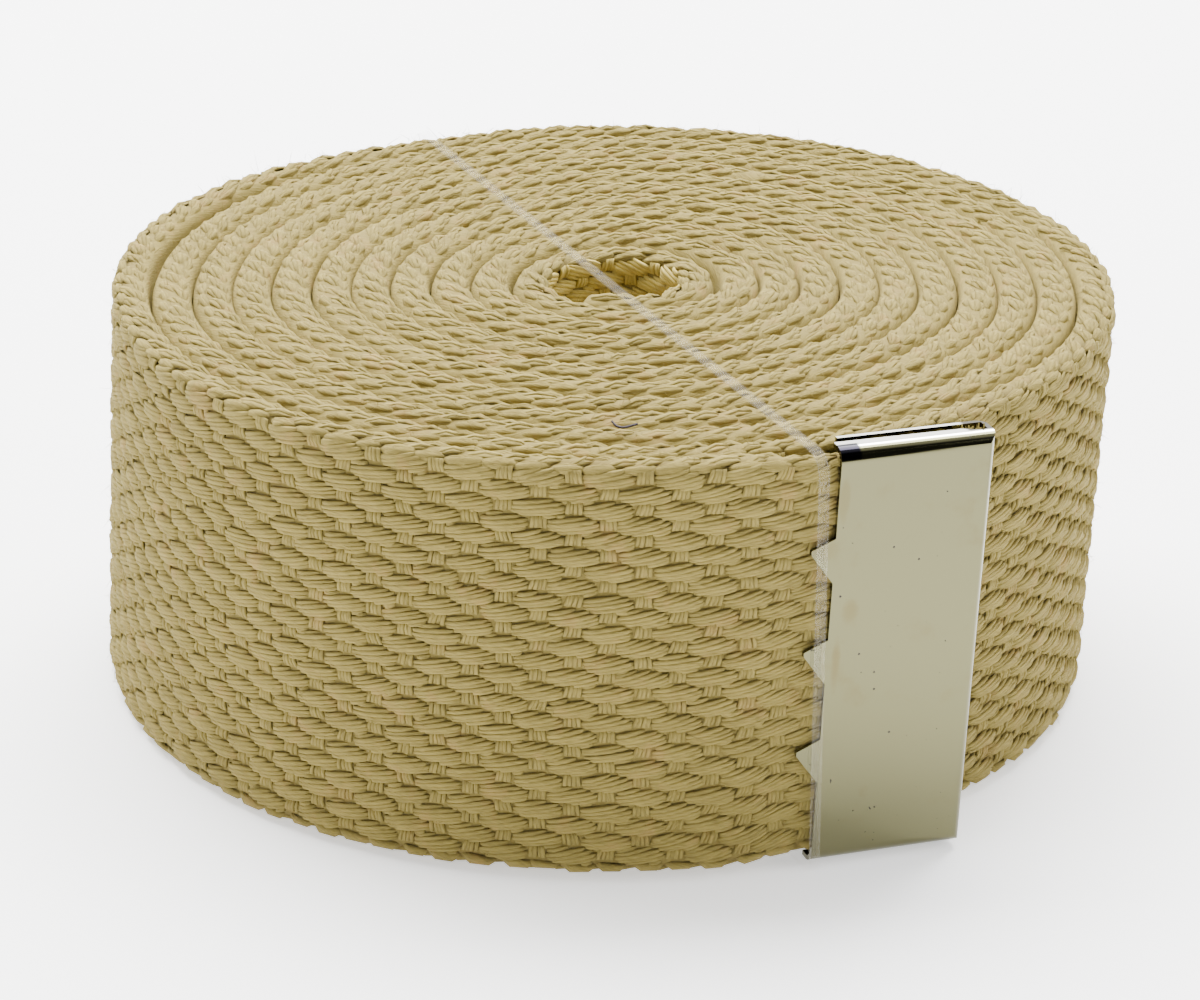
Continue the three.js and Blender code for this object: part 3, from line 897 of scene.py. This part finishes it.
# %% Fold the tip
inner = TIP_HALF - TIP_SHEET
folded = bent_box(
    "tip_sheet", 0, TIP_LENGTH, TIP_HALF, TIP_FOOT, TIP_TOP, SHOULDER_RADIUS, FOLD_RADIUS
)
inside = bent_box(
    "inside", -TIP_SHEET, TIP_LENGTH - TIP_SHEET, inner, TIP_FOOT + TIP_SHEET,
    TIP_TOP - TIP_SHEET, SHOULDER_RADIUS - TIP_SHEET, FOLD_RADIUS - TIP_SHEET,
)
# The slit between flange and back plate widens at the free end, where the corner is open.
gap = [
    (-TIP_SHEET, inner),
    (-TIP_SHEET, inner - SLIT_AT_MOUTH),
    (TIP_LENGTH - FLANGE_HIGH_END, inner - SLIT_AT_FOLD),
    (TIP_LENGTH - FLANGE_LOW_END, FLANGE_FRONT),
    (TIP_LENGTH - TIP_SHEET, FLANGE_FRONT),
    (TIP_LENGTH - TIP_SHEET, inner),
]
cuts = [inside]
for edge in (TIP_FOOT, TIP_TOP):
    lowered = Matrix.Translation((0, 0, edge - 2 * TIP_SHEET))
    cuts.append(prism("slit", gap, 4 * TIP_SHEET, lowered))
back = [(-BACK_SETBACK, inner), (BACK_SETBACK, inner)]
back += [(BACK_SETBACK, 2 * TIP_HALF), (-BACK_SETBACK, 2 * TIP_HALF)]
lowered = Matrix.Translation((0, 0, -TIP_SHEET))
cuts.append(prism("setback", back, TIP_TOP + 3 * TIP_SHEET, lowered))
combined(folded, cuts, "DIFFERENCE")
print("sheet faces:", len(folded.data.polygons))

# %% Its teeth
middle = (TIP_FOOT + TIP_TOP) / 2
teeth = []
laid = Matrix.Translation((0, TIP_SHEET - TIP_HALF, 0)) @ Matrix.Rotation(math.pi / 2, 4, "X")
for i in range(TOOTH_COUNT):
    z = middle + (i - (TOOTH_COUNT - 1) / 2) * TOOTH_PITCH
    outline = [
        (TIP_SHEET, z - TOOTH_BASE / 2),
        (TIP_SHEET, z + TOOTH_BASE / 2),
        (0, z + TOOTH_BASE / 2),
        (-TOOTH_REACH, z + TOOTH_TILT + TOOTH_POINT / 2),
        (-TOOTH_REACH, z + TOOTH_TILT - TOOTH_POINT / 2),
        (0, z - TOOTH_BASE / 2),
    ]
    teeth.append(prism("tooth", outline[::-1], TIP_SHEET, laid))

tip = combined(folded, teeth, "UNION")
print("tip faces:", len(tip.data.polygons))

# %% [markdown]
# Nickel
# The plate is bright and nearly smooth. It shows what lies before it: the pale table. What makes
# it read as real sheet is faint: a slight wave in the sheet, fine rubbing marks, a few dark pits
# in the plating, and a warm stain here and there.

# %% Nickel material
NICKEL = (0.118, 0.113, 0.060)
NICKEL_STAIN = (0.098, 0.078, 0.034)
NICKEL_PIT = (0.035, 0.032, 0.028)
NICKEL_FLANGE_PAINTED_REFLECTION = (0.86, 0.85, 0.78)
NICKEL_PAINTED_DARK_REFLECTION = (0.015, 0.014, 0.02)
NICKEL_PAINTED_CORNER_SHADE = (0.045, 0.038, 0.02)

# Marks on the plate, in millimetres from the mouth of the tip and up from the floor
NICKEL_PITS = [(4.41, 24.8), (6.38, 23.64), (2.43, 16.84), (3.69, 15.27), (3.79, 13.93), (5.23, 10.35)]
PIT_EDGE = (0.002, 0.012)  # square millimetres, from its middle
# Place, half length, half height and strength
NICKEL_SMUDGES = [
    (1.48, 20.2, 0.8, 1.3, 0.5),
    (0.7, 16.2, 0.45, 2.6, 0.6),
    (0.4, 28.5, 0.5, 2.0, 0.4),
]


def nickel_material():
    nickel = Recipe(bpy.data.materials.new("nickelled_sheet"))
    where = nickel.room_place()
    cloud = nickel.noise(where, 260, 4, 0.6)
    stain = nickel.band(cloud, 0.56, 0.75) * 0.35
    pit = nickel.band(nickel.noise(where, 1900), 0.735, 0.77)
    colour = nickel.mix(stain.clamped(), NICKEL, NICKEL_STAIN)
    upright = {0: where, 1: (1, 1, 0.08)}  # the rubbing marks run up and down
    rubbed = nickel.node("ShaderNodeVectorMath", {"operation": "MULTIPLY"}, upright)
    rubbed = nickel.noise(rubbed, 2600, 3, 0.6)
    mouth = leaving_point + along * TIP_LEAD + roll_shift
    course = (*along, -along[0] * LEAN / WEB_WIDTH)  # along the tip, without the lean of the roll
    lengthwise = (nickel.dot(where, course) - float(mouth @ along)) / MM
    high = nickel.dot(where, (0, 0, 1)) / MM
    wavy = (cloud - 0.5) * 1.2
    for from_mouth, up, long, tall, strength in NICKEL_SMUDGES:
        away = ((lengthwise - from_mouth) / long) ** 2 + ((high - up) / tall) ** 2
        smudge = (1 - nickel.band(away + wavy * 2, 0.1, 1)) * strength
        colour = nickel.mix(smudge, colour, NICKEL_STAIN)
    for from_mouth, up in NICKEL_PITS:
        away = (lengthwise - from_mouth) ** 2 + (high - up) ** 2
        pit = pit.maths("MAXIMUM", pit, 1 - nickel.band(away, *PIT_EDGE))
    colour = nickel.mix(pit, colour, NICKEL_PIT)
    # The bent-in flange is painted bright, as a painted reflection of the bright end of the room, but for
    # painted shade in its open corner and a painted dark reflection at its left end.
    out_course = (*out_face, -out_face[0] * LEAN / WEB_WIDTH)
    behind = (float(mouth @ out_face) + TIP_HALF - nickel.dot(where, out_course)) / MM
    colour = nickel.mix(nickel.band(high, 32.43, 32.47), colour, NICKEL_FLANGE_PAINTED_REFLECTION)
    # Painted shade: a dark patch in the open corner of the flange near the fold.
    painted_corner_shade = nickel.band(high, 32.2, 32.35) * nickel.band(lengthwise, 9.6, 10.0)
    colour = nickel.mix(painted_corner_shade * nickel.band(behind, 0.9, 1.2), colour, NICKEL_PAINTED_CORNER_SHADE)
    # Painted dark reflection: a dark patch on the top of the front shoulder bend near the mouth, where the
    # dark band along the bend is widest.
    painted_dark_reflection = nickel.band(high + wavy * 0.3, 31.7, 31.8)
    painted_dark_reflection = painted_dark_reflection * (1 - nickel.band(lengthwise + wavy, 1.3, 1.55))
    painted_dark_reflection = painted_dark_reflection * (1 - nickel.band(behind + wavy * 0.4, 1.1, 1.25))
    colour = nickel.mix(painted_dark_reflection, colour, NICKEL_PAINTED_DARK_REFLECTION)
    roughness = 0.05 + rubbed * 0.08 + stain * 0.2 + pit * 0.3
    relief = nickel.noise(where, 140, 1, 0.4) + rubbed * 0.02 - pit * 0.05
    bump = nickel.bump(0.25, 0.12 * MM, relief)
    return nickel.finish(Base_Color=colour, Metallic=1.0, Roughness=roughness, Normal=bump)


# %% Put the tip on the web
EDGE_SOFTENING = 0.05 * MM
SHARP_ANGLE = math.radians(35)

# In millimetres, because Blender cuts faces as small as these up wrongly when they are in metres.
tip.data.transform(Matrix.Scale(1 / MM, 4))
bevel = tip.modifiers.new("soft edges", "BEVEL")
bevel.width = EDGE_SOFTENING / MM
bevel.segments = 2
bevel.limit_method = "ANGLE"
bevel.angle_limit = SHARP_ANGLE
bevel.harden_normals = True
triangles = tip.modifiers.new("triangles", "TRIANGULATE")
triangles.min_vertices = 5
triangles.keep_custom_normals = True
tip.data.shade_smooth()
tip.data.set_sharp_from_angle(angle=SHARP_ANGLE)
settle(tip)
mesh = tip.data
mouth = leaving_point + along * TIP_LEAD
lean = Matrix.Identity(4)
lean[0][2] = LEAN / WEB_WIDTH
centred = Matrix.Translation((roll_shift[0], roll_shift[1], 0))
stood = Matrix.Translation((mouth[0], mouth[1], 0)) @ Matrix.Rotation(leaving + math.pi / 2, 4, "Z")
mesh.transform(centred @ lean @ stood @ Matrix.Scale(MM, 4))
mesh.materials.clear()
mesh.materials.append(nickel_material())
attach(tip, "root")
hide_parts("metal_tip")
print("tip triangles:", sum(len(p.vertices) - 2 for p in mesh.polygons))

# %% [markdown]
# The clear band
# The band is a thin flat strip of clear film. It is nearly invisible but for its two edges and the
# gleam on its bends. Real glass shading would be slow and would throw a dark line as its shadow, so
# it is mostly see-through, with a glossy skin, and less so at the edges, as painted highlights.

# %% Clear film
FILM = (0.62, 0.58, 0.47)


def film_material():
    film = Recipe(bpy.data.materials.new("clear_film"))
    across = film.split(film.attribute("yarn_place", output=1))[1]
    smudge = film.noise(film.room_place(), 500, 3, 0.6)
    # Painted highlights: the edges are less see-through, so the pale film colour shows there as two light
    # lines.
    edge = film.band(across, 0.9, 1.0)
    clear = 0.025 + smudge * 0.035 + edge * 0.11
    skin = {"Specular_IOR_Level": 0.35, "Coat_Weight": 0.06, "Coat_Roughness": 0.08}
    return film.finish(Base_Color=(*FILM, 1), Roughness=0.12 + smudge * 0.1, Alpha=clear, **skin)


# %% The band round the roll
BAND_TOP_BEND = 1.8 * MM
BAND_FOOT_BEND = 0.8 * MM
BAND_BEND_STEPS = 12
BAND_TOP = WEB_WIDTH + max(END_RISE - SQUEEZE, 0) + BAND_CLEARANCE + BAND_THICKNESS / 2
# In shares of half its width and of half its thickness
BAND_SECTION = [(1, 0.35), (0.9, 1), (-0.9, 1), (-1, 0.35), (-1, -0.35), (-0.9, -1), (0.9, -1), (1, -0.35)]

front_top = band_front + along * BAND_TOP_RUN
corners = [
    (np.array([*front_top, BAND_TOP]), BAND_TOP_BEND),
    (np.array([*band_foot, BAND_THICKNESS / 2]), BAND_FOOT_BEND),
    (np.array([*band_back, BAND_THICKNESS / 2]), BAND_FOOT_BEND),
    (np.array([*band_back, BAND_TOP]), BAND_TOP_BEND),
]
line = []
for i, (corner, bend) in enumerate(corners):
    steps = [other - corner for other, _ in (corners[i - 1], corners[(i + 1) % 4])]
    before, after = [corner + unit(step) * bend for step in steps]
    for step in range(BAND_BEND_STEPS + 1):
        t = step / BAND_BEND_STEPS
        line.append((1 - t) ** 2 * before + 2 * t * (1 - t) * corner + t * t * after)
line = np.array(line)
course = np.roll(line, -1, 0) - np.roll(line, 1, 0)
across = corners[0][0] - corners[3][0]
side = unit(np.array([-across[1], across[0], 0]))
out = unit(np.cross(course, side))
ring = [
    line + side * BAND_WIDTH / 2 * wide + out * BAND_THICKNESS / 2 * thick
    for wide, thick in BAND_SECTION
]
points = np.stack(ring, 1)
count, sides, _ = points.shape
number = np.arange(count * sides).reshape(count, sides)
walls = walls_between(number, np.roll(number, -1, 0))
x, y, z = np.moveaxis(points, -1, 0)
place = np.zeros((count, sides, 3))
place[..., 1] = np.abs([wide for wide, _ in BAND_SECTION])
notes = {"yarn_place": place.reshape(-1, 3)}
make_mesh(
    "clear_band_strip", leant(x, y, z, roll_shift), [walls], film_material(), notes,
    replaced="clear_band",
)

# %% [markdown]
# Floor and light
# The belt was photographed on a bright white table under broad soft light. The floor is a large pale
# sheet that glows faintly, like a table lit from all sides. Lamps alone would leave hard spots in
# the metal. So most of the light is a bright sky with a darker part towards the camera, because
# the bends of the metal need something dark to show.

# %% Floor
FLOOR_SIZE = 8
FLOOR_GLOW = 0.8
FLOOR_GAP = 0.02 * MM  # keeps the sheet clear of the web's foot

floor = Recipe(bpy.data.materials.new("table_sheet"))
grain = floor.noise(floor.room_place(), 4)
colour = floor.mix(grain, (0.93, 0.93, 0.93), (0.95, 0.95, 0.95))
glow = {"Emission_Color": (1, 1, 1, 1), "Emission_Strength": FLOOR_GLOW}
material = floor.finish(Base_Color=colour, Roughness=0.9, **glow)
mesh = bpy.data.meshes.new("floor")
half = FLOOR_SIZE / 2
points = [(-half, -half, 0), (half, -half, 0), (half, half, 0), (-half, half, 0)]
mesh.from_pydata(points, [], [(0, 1, 2, 3)])
mesh.transform(Matrix.Translation((0, 0, -FLOOR_GAP)))
mesh.materials.append(material)
linked("floor", mesh)


# %% Light
def softbox(name, place, aim, size, power):
    light = bpy.data.lights.new(name, "AREA")
    light.shape = "RECTANGLE"
    light.size, light.size_y = size
    light.energy = power
    lamp = linked(name, light)
    lamp.location = place
    lamp.rotation_euler = (Vector(aim) - Vector(place)).to_track_quat("-Z", "Y").to_euler()


softbox("top_light", (-0.05, 0.3, 0.58), (0, 0, 0.02), (0.8, 0.5), 30)
softbox("left_light", (-0.45, -0.45, 0.3), (0, 0, 0.015), (0.4, 0.4), 1.8)
softbox("right_light", (0.6, -0.2, 0.4), (0, 0, 0.015), (0.4, 0.4), 3)

# %% Sky
SKY_GREY = 1.5  # strength all round
SKY_DARK = 1.45  # how much of it the part towards the camera lacks
SKY_WINDOW = 2.5  # what the far side has on top

bpy.context.scene.world = bpy.data.worlds.new("studio")
sky = Recipe(bpy.context.scene.world)
forwards, height = sky.split(sky.node("ShaderNodeTexCoord"))[1:]
dark = sky.band(forwards * -1, 0.02, 0.3) * sky.band(height, 0.0, 0.06)
dark = dark * (1 - sky.band(height, 0.93, 0.99))  # the sky overhead stays bright
window = sky.band(forwards, 0.7, 0.85) * sky.band(height, 0.1, 0.2)
brightness = SKY_GREY - SKY_DARK * dark + SKY_WINDOW * window
background = sky.node("ShaderNodeBackground", None, {"Color": (1, 1, 1, 1), "Strength": brightness})
sky.node("ShaderNodeOutputWorld", None, {"Surface": background})

# %% Count the triangles
print("total triangles:", total_triangles)
